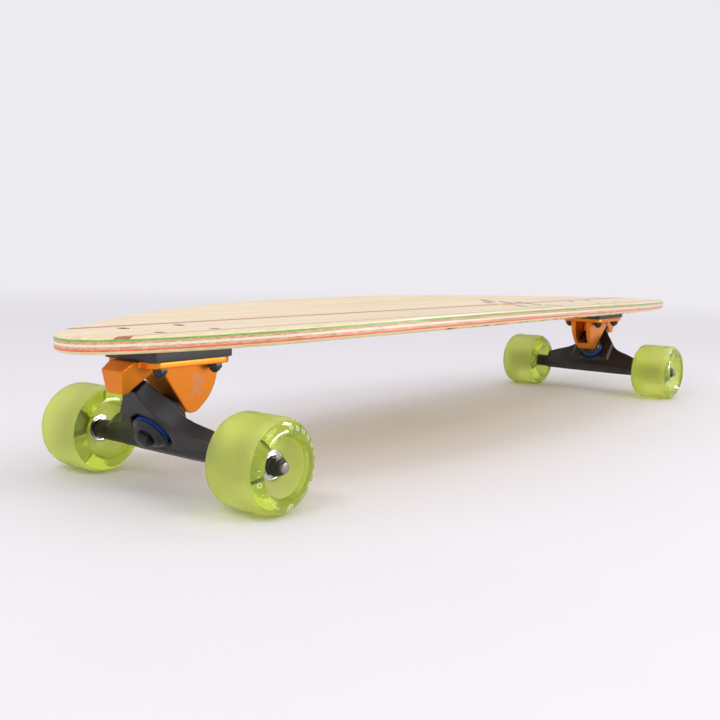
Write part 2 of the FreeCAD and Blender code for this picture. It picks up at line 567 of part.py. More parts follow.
def wheel_parts(side):
    """A wheel and its two bearings, in the truck's frame, on the side given."""
    inner_wall = BEARING_BORE_RADIUS + INNER_RING_WALL
    outer_wall = BEARING_OUTER_RADIUS - OUTER_RING_WALL
    inner_end = INNER_BEARING_Y + BEARING_WIDTH
    outer_ring = bearing_ring(outer_wall, BEARING_OUTER_RADIUS)
    inner_ring = bearing_ring(BEARING_BORE_RADIUS, inner_wall)
    groups = {name: [] for name in
              ("bearing_outer_rings", "bearing_inner_rings", "bearing_balls", "bearing_shields")}
    for y in (INNER_BEARING_Y, OUTER_BEARING_Y):
        groups["bearing_outer_rings"].append(on_axle(outer_ring, y, side))
        groups["bearing_inner_rings"].append(on_axle(inner_ring, y, side))
        groups["bearing_balls"] += [on_axle(ball, y, side) for ball in balls()]
        for start in (0.2, BEARING_WIDTH - 0.2 - SHIELD_THICKNESS):
            groups["bearing_shields"].append(on_axle(shield(start), y, side))
    parts = {name: Part.makeCompound(solids) for name, solids in groups.items()}
    parts["wheel"] = on_axle(wheel(), WHEEL_CENTRE_Y, side)
    length = OUTER_BEARING_Y - inner_end
    tube = cylinder(SPACER_RADIUS, 0, length).cut(cylinder(BEARING_BORE_RADIUS, 0, length))
    parts["bearing_spacer"] = on_axle(tube, inner_end, side)
    return parts


# --- assembly ---------------------------------------------------------------------------
def truck_parts(truck_frame):
    """Every piece of one truck, in the board's frame."""
    both = (1, -1)
    washer = cylinder(SPEED_WASHER_RADIUS, 0, SPEED_WASHER_THICKNESS)
    washer = washer.cut(cylinder(BEARING_BORE_RADIUS, 0, SPEED_WASHER_THICKNESS))
    washer_places = (BEAM_END_Y, OUTER_BEARING_Y + BEARING_WIDTH)
    nut_y = washer_places[1] + SPEED_WASHER_THICKNESS
    axle_nut = lock_nut(AXLE_NUT_FLATS, 0, AXLE_NUT_HEIGHT, AXLE_RADIUS)
    nut_end = NUT_SEAT_S + KINGPIN_NUT_HEIGHT
    kingpin_nut = lock_nut(KINGPIN_NUT_FLATS, NUT_SEAT_S, nut_end, KINGPIN_RADIUS)
    seats = ((-1, -HOUSING_FRONT_S), (1, NUT_SEAT_S))
    on_kingpin = {
        "kingpin": kingpin(),
        "kingpin_nut": kingpin_nut,
        "pivot_cup": pivot_cup(),
        "bushing_boardside": bushing(-1, -HOUSING_FRONT_S),
        "bushing_roadside": bushing(1, NUT_SEAT_S),
        "cup_washers": Part.makeCompound([cup_washer(side, seat_s) for side, seat_s in seats]),
        "hanger": hanger(),
    }
    parts = {name: placed(shape, KINGPIN_FRAME) for name, shape in on_kingpin.items()}
    parts["baseplate"] = baseplate()
    parts["axle"] = axle()
    parts["axle_nuts"] = Part.makeCompound([on_axle(axle_nut, nut_y, side) for side in both])
    parts["speed_washers"] = Part.makeCompound(
        [on_axle(washer, y, side) for side in both for y in washer_places])
    parts["mounting_bolts"] = Part.makeCompound([mounting_bolt(x, y) for x, y in BOLT_PLACES])
    parts["mounting_nuts"] = Part.makeCompound([mounting_nut(x, y) for x, y in BOLT_PLACES])
    parts = {name: placed(shape, truck_frame) for name, shape in parts.items()}
    parts["riser_pad"] = riser_pad(truck_frame)
    return parts


def all_parts():
    """Every sub-part of the board, by its file's name."""
    parts = deck_parts()
    for end, truck_frame in TRUCK_FRAMES.items():
        for name, shape in truck_parts(truck_frame).items():
            parts[f"{end}_{name}"] = shape
        for hand, side in (("left", 1), ("right", -1)):
            # the rear truck is turned half round, so its left wheel is drawn on its other side
            own_side = side if end == "front" else -side
            for name, shape in wheel_parts(own_side).items():
                parts[f"{end}_{hand}_{name}"] = placed(shape, truck_frame)
    return parts


def main():
    os.makedirs("parts", exist_ok=True)
    for name, shape in all_parts().items():
        if not shape.isValid() or not shape.Solids:
            raise RuntimeError(f"{name} is not a valid solid")
        shape.exportStep(f"parts/{name}.step")
        print(f"{name}: {len(shape.Solids)} solids, {shape.Volume / 1000:.2f} cm3")


main()
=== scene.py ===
"""Looks of a pintail cruiser longboard on two reverse-kingpin trucks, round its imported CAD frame.

Frame: +X towards the nose, +Y towards the rider's left, +Z up, origin on the ground below the
middle of the deck. Shapes are worked out in millimetres and stored in metres.
"""
from math import cos, pi, radians, sin, sqrt

import bmesh
import bpy
import numpy as np
from mathutils import Matrix, Vector


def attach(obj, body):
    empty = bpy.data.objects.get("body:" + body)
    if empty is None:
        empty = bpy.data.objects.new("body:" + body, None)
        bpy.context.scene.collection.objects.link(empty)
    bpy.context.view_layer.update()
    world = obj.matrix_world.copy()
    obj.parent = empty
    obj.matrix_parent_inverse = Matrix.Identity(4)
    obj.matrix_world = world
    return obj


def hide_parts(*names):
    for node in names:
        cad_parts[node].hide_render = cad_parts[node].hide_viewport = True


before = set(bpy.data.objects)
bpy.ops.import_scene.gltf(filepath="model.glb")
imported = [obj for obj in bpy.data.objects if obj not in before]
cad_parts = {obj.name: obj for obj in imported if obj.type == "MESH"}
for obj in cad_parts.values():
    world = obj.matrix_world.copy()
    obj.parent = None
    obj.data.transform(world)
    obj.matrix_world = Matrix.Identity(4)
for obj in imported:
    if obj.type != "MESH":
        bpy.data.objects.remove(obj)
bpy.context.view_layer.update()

MM = 0.001

# --- sizes in millimetres, the same as the CAD part's --------------------------------------
AXLE_X = {"front": 431.0, "rear": -331.0}
AXLE_Z = 35.0
HANDS = {"left": 1, "right": -1}
DECK_TOP_Z = 122.5                # top face on the centreline
CONCAVE_RADIUS = 650.0
PLIES = (                         # piece, thickness, material slot
    ("deck_top_ply", 2.1, "bamboo_face"),
    ("deck_green_ply", 1.4, "green_ply"),
    ("deck_core_upper_ply", 1.8, "maple_core"),
    ("deck_core_middle_ply", 1.8, "cream_core"),
    ("deck_core_lower_ply", 1.8, "maple_core"),
    ("deck_red_ply", 1.4, "red_ply"),
    ("deck_bottom_ply", 2.2, "bamboo_face"),
)
RAIL_TOP_RADIUS = 3.0             # rounding of the deck's upper edge
RAIL_BOTTOM_RADIUS = 3.4
STRINGER_OFFSET = 33.5
STRINGER_WIDTH = 6.0
BOLT_SPACING = (54.0, 41.3)
BOLT_HOLE_RADIUS = 2.6
BOLT_SINK_RADIUS = 5.0
CUTTER_FOOT = 60.0                # heights between which the deck's cutters reach
CUTTER_HEAD = 160.0
WHEEL_Y = 96.2                    # middle of a wheel's width
WHEEL_RADIUS = 35.0
WHEEL_HALF = 26.0
LIP_RADIUS = 11.0
TREAD_EDGE = 21.4                 # half the width of the ground, matt tread
DISH_FLOOR = (12.0, 13.6)         # radius, and distance from the wheel's middle
DISH_HOLLOW = 1.5
SEAT_RADIUS = 11.0
SHOULDER_RADIUS = 9.6
BEARING_INNER_END = 5.0           # a bearing's inner side, from the wheel's middle
RING_POINT = (9.2, 19.1)          # where kingpin and pivot axis cross, from the axle's centre
PIVOT_ANGLE = 50.0
CUP_SEATS = ((1, 18.2), (-1, 16.5))   # side of the ring, and a cup's flat back from it

# --- camera and light ----------------------------------------------------------------------
CAMERA_PLACE = (0.9035, 0.5459, 0.1848)
CAMERA_YAW = 37.64
CAMERA_PITCH = 6.61
CAMERA_ROLL = 1.54
LENS = 47.13
ROOM = "#EDEBEF"

# --- prints, sizes in millimetres ----------------------------------------------------------
MARK_RADIUS = 28.6                # circle that the wheels' printed marks lie on
MARK_LIP_ANGLE = 65.0             # the same circle as an angle on the lip's arc
MARK_TURNS = {"front_left": 0, "front_right": 200, "rear_left": 75, "rear_right": 130}
INK_THICKNESS = 0.05
UNDERSIDE_DEPTH = 11.4
UNDERSIDE_PRINT = (-270.0, 235.0)
FIN_ROOT = (64.5, 15.5)           # height above the axle, and half the fin's thickness there
FIN_FOOT = (22.0, 10.0)
FIN_ORNAMENT = (-16.7, 45.4)      # its middle: forward of the axle, and above it
DECK_PRINT = {                    # bands from (x, y) to (x, y), and their width
    "navy_ink": [(-130, -58, -130, -46, 7), (-130, -12, -130, 8, 7), (-148, -72, -148, -52, 8),
                 (-168, -56, -168, -38, 8), (-190, -46, -190, -8, 8), (-190, -2, -190, 22, 6)],
    "yellow_ink": [(-130, -44, -130, -14, 11), (-168, -10, -168, 18, 8)],
    "orange_ink": [(-130, 12, -130, 30, 7), (-149, -38, -149, -10, 9)],
}


# --- mesh helpers --------------------------------------------------------------------------
def grid_faces(rows, columns, close_rows=False, close_columns=False):
    """Quads of a grid numbered row by row; either direction may join its end to its start."""
    r, c = np.meshgrid(np.arange(rows if close_rows else rows - 1),
                       np.arange(columns if close_columns else columns - 1), indexing="ij")
    r_next, c_next = (r + 1) % rows, (c + 1) % columns
    corners = (r * columns + c, r_next * columns + c, r_next * columns + c_next, r * columns + c_next)
    return np.stack(corners, -1).reshape(-1, 4)


def add_object(name, mesh, angle=35):
    """Links a mesh as an object at the origin, smooth except along edges sharper than angle."""
    mesh.shade_smooth()
    mesh.set_sharp_from_angle(angle=radians(angle))
    piece = bpy.data.objects.new(name, mesh)
    bpy.context.scene.collection.objects.link(piece)
    return piece


def cleaned(mesh, closed=True, gap=2e-6):
    """Joins points closer than gap, so poles and seams close, and turns the faces outwards."""
    work = bmesh.new()
    work.from_mesh(mesh)
    bmesh.ops.remove_doubles(work, verts=work.verts, dist=gap)
    if closed:
        bmesh.ops.recalc_face_normals(work, faces=work.faces)
    work.to_mesh(mesh)
    work.free()
    return mesh


def from_grids(name, grids, closed=True, angle=35):
    """One object from several point grids, each (points in mm, closes by rows, closes by columns)."""
    points, faces, start = [], [], 0
    for grid, close_rows, close_columns in grids:
        rows, columns = grid.shape[:2]
        points.append(grid.reshape(-1, 3))
        faces.append(grid_faces(rows, columns, close_rows, close_columns) + start)
        start += rows * columns
    mesh = bpy.data.meshes.new(name)
    mesh.from_pydata((np.concatenate(points) * MM).tolist(), [], np.concatenate(faces).tolist())
    return add_object(name, cleaned(mesh, closed), angle)


def rounded(corners, closed=False, steps=6):
    """A polyline of (a, b, radius) corners with each corner turned by an arc of its radius.

    For a corner with unit directions p and q towards its neighbours and half-angle h between
    them, the arc starts and ends radius / tan(h) away and is centred radius / sin(h) along the
    bisector."""
    made = []
    count = len(corners)
    for i, (a, b, radius) in enumerate(corners):
        here = np.array((a, b), float)
        if radius == 0 or (not closed and i in (0, count - 1)):
            made.append(here)
            continue
        before = np.array(corners[i - 1][:2], float) - here
        after = np.array(corners[(i + 1) % count][:2], float) - here
        p, q = before / np.linalg.norm(before), after / np.linalg.norm(after)
        half = np.arccos(np.clip(p @ q, -1, 1)) / 2
        middle = (p + q) / np.linalg.norm(p + q)
        centre = here + middle * radius / np.sin(half)
        start, end = here + p * radius / np.tan(half), here + q * radius / np.tan(half)
        for t in np.linspace(0, 1, steps):
            spoke = (start - centre) * (1 - t) + (end - centre) * t
            made.append(centre + spoke / np.linalg.norm(spoke) * radius)
    return np.array(made)


def arc_through(start, middle, end, steps):
    """Points of the circular arc from start through middle to end."""
    (ax, ay), (bx, by), (cx, cy) = start, middle, end
    d = 2 * (ax * (by - cy) + bx * (cy - ay) + cx * (ay - by))
    a2, b2, c2 = ax * ax + ay * ay, bx * bx + by * by, cx * cx + cy * cy
    centre = np.array(((a2 * (by - cy) + b2 * (cy - ay) + c2 * (ay - by)) / d,
                       (a2 * (cx - bx) + b2 * (ax - cx) + c2 * (bx - ax)) / d))
    angles = [np.arctan2(*(np.array(p) - centre)[::-1]) for p in (start, middle, end)]
    sweep = (angles[2] - angles[0] + pi) % (2 * pi) - pi
    t = angles[0] + sweep * np.linspace(0, 1, steps)
    radius = np.linalg.norm(np.array(start) - centre)
    return centre + radius * np.stack((np.cos(t), np.sin(t)), -1)


def place(local, frame_of):
    """Points in a local frame, carried to the board's frame by (origin, three axis directions)."""
    origin, axes = frame_of
    return np.array(origin) + local @ np.array(axes)


def turned(profile, frame_of, steps=96, closed=True):
    """The surface swept by (radius, height) points round a local frame's third axis: the point
    at angle t is (radius cos t, radius sin t, height)."""
    t = np.linspace(0, 2 * pi, steps, endpoint=False)[:, None]
    radius, height = profile[:, 0][None], profile[:, 1][None]
    local = np.stack((radius * np.cos(t), radius * np.sin(t), height + 0 * t), -1)
    return place(local, frame_of), True, closed


def truck_frame(end):
    """Origin and axes of a truck's own frame: axle's centre, +X outboard."""
    sign = 1 if end == "front" else -1
    return (AXLE_X[end], 0, AXLE_Z), ((sign, 0, 0), (0, sign, 0), (0, 0, 1))


def kingpin_frame(end):
    """Origin and axes of the frame on the kingpin: X along the pivot axis, Z towards its nut."""
    origin, axes = truck_frame(end)
    c, s = cos(radians(PIVOT_ANGLE)), sin(radians(PIVOT_ANGLE))
    local = np.array(((c, 0, s), (0, -1, 0), (s, 0, -c)))
    ring = np.array((RING_POINT[0], 0, RING_POINT[1]))
    return np.array(origin) + ring @ np.array(axes), local @ np.array(axes)


def wheel_frame(end, hand):
    """Origin and axes of a wheel's frame: its centre, with Z outwards along the axle."""
    side = HANDS[hand]
    return (AXLE_X[end], side * WHEEL_Y, AXLE_Z), ((1, 0, 0), (0, 0, side), (0, side, 0))


# --- material helpers ----------------------------------------------------------------------
def rgb(code, alpha=1.0):
    """A colour written as sRGB hex, as the linear values that sockets take."""
    values = [int(code[i:i + 2], 16) / 255 for i in (1, 3, 5)]
    return tuple(v / 12.92 if v <= 0.04045 else ((v + 0.055) / 1.055) ** 2.4 for v in values) + (alpha,)


def node(tree, kind, inputs=None, **settings):
    """Adds a shader node: settings are its own, inputs gives sockets a value or a link."""
    made = tree.nodes.new("ShaderNode" + kind)
    for name, value in settings.items():
        setattr(made, name, value)
    for key, value in (inputs or {}).items():
        if isinstance(value, bpy.types.NodeSocket):
            tree.links.new(value, made.inputs[key])
        else:
            made.inputs[key].default_value = value
    return made


def new_material(name):
    """A material with an empty Principled surface; returns it, its tree and the shader."""
    material = bpy.data.materials.new(name)
    material.use_nodes = True
    tree = material.node_tree
    return material, tree, tree.nodes["Principled BSDF"]


def ramp(tree, value, stops):
    """A colour ramp through (place, sRGB hex) stops."""
    made = node(tree, "ValToRGB", {"Fac": value})
    elements = made.color_ramp.elements
    while len(elements) < len(stops):
        elements.new(0.5)
    for element, (at, code) in zip(elements, stops):
        element.position = at
        element.color = rgb(code)
    return made.outputs["Color"]


def stretched_noise(tree, per_metre, detail=3.0, roughness=0.55):
    """Noise in object space with its own number of cells per metre along each axis."""
    place_of = node(tree, "TexCoord").outputs["Object"]
    scaled = node(tree, "VectorMath", {0: place_of, 1: per_metre}, operation="MULTIPLY").outputs[0]
    made = node(tree, "TexNoise",
                {"Vector": scaled, "Scale": 1.0, "Detail": detail, "Roughness": roughness})
    return made.outputs["Fac"]


def math_node(tree, operation, first, second=0.0, clamp=False):
    """One math node's result."""
    return node(tree, "Math", {0: first, 1: second}, operation=operation, use_clamp=clamp).outputs[0]


def mixed(tree, factor, first, second):
    """Two colours mixed by a factor."""
    made = node(tree, "Mix", data_type="RGBA")
    for index, value in ((0, factor), (6, first), (7, second)):
        if isinstance(value, bpy.types.NodeSocket):
            tree.links.new(value, made.inputs[index])
        else:
            made.inputs[index].default_value = value
    return made.outputs[2]


def bumped(tree, shader, height, distance_mm, strength=1.0):
    """Bump from a height socket, distance_mm deep."""
    made = node(tree, "Bump", {"Height": height, "Strength": strength, "Distance": distance_mm * MM})
    tree.links.new(made.outputs["Normal"], shader.inputs["Normal"])


def wood(name, stops, streak=(5.0, 260.0, 420.0), fleck=0.0):
    """Veneer: long streaks of tone along the board, with fine open fibres and a satin lacquer."""
    material, tree, shader = new_material(name)
    wide = stretched_noise(tree, streak)
    fine = stretched_noise(tree, (22.0, 1900.0, 2300.0), detail=2.0)
    blend = math_node(tree, "MULTIPLY_ADD", fine, 0.45)
    blend.node.inputs[2].default_value = -0.225
    tone = math_node(tree, "ADD", wide, blend)
    colour = ramp(tree, tone, stops)
    if fleck:
        spots = stretched_noise(tree, (90.0, 900.0, 900.0), detail=1.0)
        dark = node(tree, "MapRange", {"Value": spots, "From Min": 0.70, "From Max": 0.76}).outputs[0]
        dark = math_node(tree, "MULTIPLY", dark, fleck)
        colour = mixed(tree, dark, colour, rgb("#7A4A30"))
    tree.links.new(colour, shader.inputs["Base Color"])
    shader.inputs["Roughness"].default_value = 0.42
    shader.inputs["Coat Weight"].default_value = 0.25
    shader.inputs["Coat Roughness"].default_value = 0.22
    bumped(tree, shader, fine, 0.03, 0.5)
    return material


def metal(name, code, roughness, grain_per_metre=2500.0, grain_mm=0.01, metallic=1.0, spread=0.06):
    """Metal with a fine grain that varies its roughness and height."""
    material, tree, shader = new_material(name)
    grain = stretched_noise(tree, (grain_per_metre,) * 3, detail=3.0)
    patches = stretched_noise(tree, (120.0,) * 3, detail=2.0)
    level = node(tree, "MapRange",
                 {"Value": patches, "To Min": roughness - spread, "To Max": roughness + spread})
    tree.links.new(level.outputs[0], shader.inputs["Roughness"])
    shade = mixed(tree, grain, rgb(code), tuple(0.86 * v for v in rgb(code)[:3]) + (1.0,))
    tree.links.new(shade, shader.inputs["Base Color"])
    shader.inputs["Metallic"].default_value = metallic
    bumped(tree, shader, grain, grain_mm)
    return material


def moulded(name, code, roughness, ior=1.5, grain_mm=0.02):
    """Rubber or plastic with a fine moulded grain."""
    material, tree, shader = new_material(name)
    grain = stretched_noise(tree, (1400.0,) * 3, detail=2.0)
    shade = mixed(tree, grain, rgb(code), tuple(0.8 * v for v in rgb(code)[:3]) + (1.0,))
    tree.links.new(shade, shader.inputs["Base Color"])
    shader.inputs["Roughness"].default_value = roughness
    shader.inputs["IOR"].default_value = ior
    bumped(tree, shader, grain, grain_mm)
    return material


def lime_urethane():
    """Clear-cast polyurethane: ground matt on the tread, glossy on the lips and in the dish.
    The tread's edge is a fixed distance from the wheel's middle, |abs(y) - 96.2 mm|."""
    material, tree, shader = new_material("lime_urethane")
    place_of = node(tree, "TexCoord").outputs["Object"]
    parts = node(tree, "SeparateXYZ", {"Vector": place_of}).outputs
    off_centre = math_node(tree, "SUBTRACT", math_node(tree, "ABSOLUTE", parts["Y"]), WHEEL_Y * MM)
    from_middle = math_node(tree, "ABSOLUTE", off_centre)
    glossy = node(tree, "MapRange", {"Value": from_middle, "From Min": TREAD_EDGE * MM,
                                     "From Max": (TREAD_EDGE + 0.4) * MM}).outputs[0]
    grain = stretched_noise(tree, (1100.0,) * 3, detail=3.0)
    cloud = stretched_noise(tree, (28.0,) * 3, detail=2.0)
    matt_tone = ramp(tree, cloud, [(0.3, "#E6F07E"), (0.7, "#EDF68C")])
    clear_tone = ramp(tree, cloud, [(0.3, "#D2EC44"), (0.7, "#DAF258")])
    tree.links.new(mixed(tree, glossy, matt_tone, clear_tone), shader.inputs["Base Color"])
    rough = node(tree, "MapRange", {"Value": glossy, "To Min": 0.55, "To Max": 0.06}).outputs[0]
    tree.links.new(rough, shader.inputs["Roughness"])
    through = node(tree, "MapRange", {"Value": glossy, "To Min": 0.75, "To Max": 0.92}).outputs[0]
    tree.links.new(through, shader.inputs["Transmission Weight"])
    shader.inputs["IOR"].default_value = 1.5
    shader.inputs["Subsurface Weight"].default_value = 1.0
    shader.inputs["Subsurface Radius"].default_value = (1.0, 1.0, 0.25)
    shader.inputs["Subsurface Scale"].default_value = 8 * MM
    matt = math_node(tree, "SUBTRACT", 1.0, glossy)
    bumped(tree, shader, math_node(tree, "MULTIPLY", grain, matt), 0.02)
    return material


def printed_veneer():
    """The underside's veneer: bands of screen print from behind the nose to the rear truck,
    with wood left bare beyond. The print starts UNDERSIDE_DEPTH below the top face, where depth is
    the distance from the hollow's axis less its radius."""
    material = wood("printed_veneer", [(0.25, "#E3C98F"), (0.5, "#EFDBA9"), (0.75, "#F5E6C2")])
    tree = material.node_tree
    shader = tree.nodes["Principled BSDF"]
    bare = shader.inputs["Base Color"].links[0].from_socket
    parts = node(tree, "SeparateXYZ", {"Vector": node(tree, "TexCoord").outputs["Object"]}).outputs
    down = math_node(tree, "SUBTRACT", parts["Z"], (DECK_TOP_Z + CONCAVE_RADIUS) * MM)
    spoke = node(tree, "CombineXYZ", {"Y": parts["Y"], "Z": down}).outputs[0]
    reach = node(tree, "VectorMath", {0: spoke}, operation="LENGTH").outputs["Value"]
    below = math_node(tree, "GREATER_THAN", reach, (CONCAVE_RADIUS + UNDERSIDE_DEPTH) * MM)
    behind_nose = math_node(tree, "LESS_THAN", parts["X"], UNDERSIDE_PRINT[1] * MM)
    before_tail = math_node(tree, "GREATER_THAN", parts["X"], UNDERSIDE_PRINT[0] * MM)
    inked = math_node(tree, "MULTIPLY", below, math_node(tree, "MULTIPLY", behind_nose, before_tail))
    slant = math_node(tree, "MULTIPLY_ADD", parts["Y"], 0.35)
    tree.links.new(parts["X"], slant.node.inputs[2])
    bands = node(tree, "TexNoise", {"W": slant, "Scale": 26.0, "Detail": 1.0}, noise_dimensions="1D")
    ink = ramp(tree, bands.outputs["Fac"],
               [(0.0, "#E2D24E"), (0.36, "#8F9038"), (0.43, "#E9DA62"), (0.5, "#EFD9A4"),
                (0.56, "#E3913A"), (0.62, "#2F3448"), (0.66, "#EFD9A4")])
    ink.node.color_ramp.interpolation = "CONSTANT"
    tree.links.new(mixed(tree, inked, bare, ink), shader.inputs["Base Color"])
    return material


MATERIALS = {
    # bamboo veneer, strips laid lengthwise under satin lacquer
    "bamboo_face": wood("bamboo_face", [(0.25, "#DCC08C"), (0.5, "#E9D3A8"), (0.75, "#F1E0BC")]),
    # maple veneer dyed green
    "green_ply": wood("green_ply", [(0.25, "#4F9A35"), (0.55, "#78B850"), (0.8, "#A5C878")],
                      (30.0, 500.0, 900.0)),
    # rotary-cut maple, sanded edge, a few dark vessels
    "maple_core": wood("maple_core", [(0.25, "#B9794E"), (0.5, "#D9A77E"), (0.8, "#EFD3AE")],
                       (7.0, 500.0, 1100.0), 0.7),
    # paler maple in the middle of the core
    "cream_core": wood("cream_core", [(0.2, "#D9B48C"), (0.45, "#F0DFC4"), (0.8, "#F8EEDC")],
                       (7.0, 500.0, 900.0)),
    # maple veneer dyed red
    "red_ply": wood("red_ply", [(0.25, "#D9542F"), (0.5, "#EB6E4C"), (0.8, "#F29A80")],
                    (9.0, 500.0, 900.0)),
    # maple veneer under bands of screen print
    "printed_veneer": printed_veneer(),
    # reddish hardwood strips
    "dark_hardwood": wood("dark_hardwood", [(0.25, "#94553A"), (0.5, "#B06C4C"), (0.8, "#C98560")]),
    # moulded rubber pad
    "riser_rubber": moulded("riser_rubber", "#303238", 0.5, 1.52),
    # bead-blasted aluminium, anodised orange
    "orange_anodised": metal("orange_anodised", "#F08A22", 0.36, 2200.0, 0.012, 0.7),
    # cast aluminium, black powder coat
    "black_casting": metal("black_casting", "#232226", 0.4, 1300.0, 0.05, 0.1),
    # moulded black plastic
    "pivot_plastic": moulded("pivot_plastic", "#1C1C1E", 0.45, 1.49),
    # black-oxide steel
    "black_steel": metal("black_steel", "#3A3A3F", 0.3, 2600.0, 0.006, 0.7),
    # ground steel
    "plain_steel": metal("plain_steel", "#8E8A86", 0.32, 3000.0, 0.004),
    # cast urethane, opaque blue
    "blue_urethane": moulded("blue_urethane", "#0C3F98", 0.38, 1.5),
    "lime_urethane": lime_urethane(),
    # polished bearing steel
    "bearing_steel": metal("bearing_steel", "#C9C8C6", 0.18, 3000.0, 0.002),
    # pressed shield
    "bearing_shield": metal("bearing_shield", "#B5B3AF", 0.26, 3000.0, 0.003),
    # pad-printing ink, pale yellow on the wheels and three colours on the deck
    "pale_ink": moulded("pale_ink", "#F1F5BE", 0.4, 1.5, 0.004),
    "navy_ink": moulded("navy_ink", "#3A4056", 0.45, 1.5, 0.004),
    "yellow_ink": moulded("yellow_ink", "#E8C93C", 0.45, 1.5, 0.004),
    "orange_ink": moulded("orange_ink", "#C9814A", 0.45, 1.5, 0.004),
    # laser etching, which bares a fine pale grey oxide
    "etched_aluminium": metal("etched_aluminium", "#C4B2A6", 0.5, 2600.0, 0.006, 0.3),
}


def finish_piece(piece, body, slot, *replaced, material=None):
    """Gives a piece its material, which is the slot's unless one is given, the CAD body it rides on and
    the nodes it stands for.
    """
    piece.data.materials.clear()
    piece.data.materials.append(material or MATERIALS[slot])
    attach(piece, body)
    if replaced:
        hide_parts(*replaced)
    return piece


# --- deck ----------------------------------------------------------------------------------
def cad_points(name):
    """A CAD node's points in millimetres."""
    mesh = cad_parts[name].data
    points = np.empty(len(mesh.vertices) * 3, np.float32)
    mesh.vertices.foreach_get("co", points)
    return points.reshape(-1, 3).astype(float) / MM


def half_outline(stations=230):
    """The deck's left-hand edge from nose to tail as (x, y) points, read off the middle ply of
    the frame and made evenly smooth: cubic Hermite pieces in chord length through its corners,
    with the stations closest together at the two ends."""
    points = cad_points("deck_core_middle_ply")
    near_bolt = np.zeros(len(points), bool)
    for x in AXLE_X.values():
        near_bolt |= (np.abs(points[:, 0] - x) < 45) & (np.abs(points[:, 1]) < 28)
    edge = np.unique(np.round(points[~near_bolt & (points[:, 1] > -1e-3)][:, :2], 2), axis=0)[::-1]
    edge = edge[np.concatenate(([True], np.hypot(*np.diff(edge, axis=0).T) > 0.05))]
    edge[0, 1] = edge[-1, 1] = 0
    s = np.concatenate(([0], np.cumsum(np.hypot(*np.diff(edge, axis=0).T))))
    slope = np.gradient(edge, s, axis=0)
    slope[0], slope[-1] = (0, 1), (0, -1)
    u = np.linspace(0, 1, stations)
    want = s[-1] * (u - 0.88 * np.sin(2 * pi * u) / (2 * pi))
    i = np.clip(np.searchsorted(s, want, side="right") - 1, 0, len(s) - 2)
    h = (s[i + 1] - s[i])[:, None]
    t = ((want - s[i]) / h[:, 0])[:, None]
    made = ((2 * t ** 3 - 3 * t ** 2 + 1) * edge[i] + (t ** 3 - 2 * t ** 2 + t) * h * slope[i]
            + (3 * t ** 2 - 2 * t ** 3) * edge[i + 1] + (t ** 3 - t ** 2) * h * slope[i + 1])
    return made


def rail_inset(depth):
    """How far the rounded rail has turned in from the full outline, at a depth below the top."""
    total = sum(thickness for _, thickness, _ in PLIES)
    inset = 0
    for radius, reach in ((RAIL_TOP_RADIUS, depth), (RAIL_BOTTOM_RADIUS, total - depth)):
        left = np.clip(radius - reach, 0, radius)
        inset = inset + radius - np.sqrt(radius ** 2 - left ** 2)
    return inset


def deck_height(y, depth):
    """Height of the concave surface that lies depth below the deck's top face."""
    return DECK_TOP_Z + CONCAVE_RADIUS - np.sqrt((CONCAVE_RADIUS + depth) ** 2 - y ** 2)


def ply_grid(outline, normals, top, bottom, across=28, down=8):
    """A ply as one loop of points at each station: across its upper face, down the left rail,
    back across its lower face and up the right rail. The rail is the outline moved in along its
    normals by rail_inset(depth)."""
    s = 0.5 - 0.5 * np.cos(np.linspace(0, pi, down))
    depths = top + (bottom - top) * s
    rail = outline[:, None] - normals[:, None] * rail_inset(depths)[None, :, None]
    rail[:, :, 1] = np.maximum(rail[:, :, 1], 0)
    share = np.linspace(-1, 1, across + 1)[1:-1]
    ones = np.ones_like(share)

    def face(row, order, depth):
        x, y = rail[:, row, 0], rail[:, row, 1]
        y_all = y[:, None] * order
        return np.stack((x[:, None] * ones, y_all, deck_height(y_all, depth)), -1)

    left = np.concatenate((rail, deck_height(rail[:, :, 1:], depths[None, :, None])), -1)
    right = left[:, ::-1] * np.array((1, -1, 1))
    return np.concatenate((face(0, share, top), left, face(-1, -share, bottom), right), axis=1)


def cut(piece, cutter, operation):
    """Replaces a piece's mesh by its Boolean with a cutter."""
    modifier = piece.modifiers.new("cut", "BOOLEAN")
    modifier.object = cutter
    modifier.operation = operation
    modifier.solver = "EXACT"
    bake(piece)


def bake(piece):
    """Makes a piece's modifiers final."""
    graph = bpy.context.evaluated_depsgraph_get()
    mesh = bpy.data.meshes.new_from_object(piece.evaluated_get(graph))
    piece.modifiers.clear()
    old = piece.data
    piece.data = mesh
    mesh.name = piece.name
    bpy.data.meshes.remove(old)
    mesh.shade_smooth()
    mesh.set_sharp_from_angle(angle=radians(35))


def bolt_cutter():
    """All eight countersunk bolt holes as one solid."""
    x_step, y_step = BOLT_SPACING[0] / 2, BOLT_SPACING[1] / 2
    top = deck_height(y_step, 0)
    sink_foot = top - BOLT_SINK_RADIUS + BOLT_HOLE_RADIUS
    profile = np.array(((0, CUTTER_FOOT), (BOLT_HOLE_RADIUS, CUTTER_FOOT),
                        (BOLT_HOLE_RADIUS, sink_foot), (BOLT_SINK_RADIUS, top),
                        (BOLT_SINK_RADIUS, top + 8), (0, top + 8)))
    grids = []
    for x in AXLE_X.values():
        for sx in (1, -1):
            for sy in (1, -1):
                centre = (x + sx * x_step, sy * y_step, 0)
                grids.append(turned(profile, (centre, np.eye(3)), 40, False))
    return from_grids("bolt_cutter", grids)


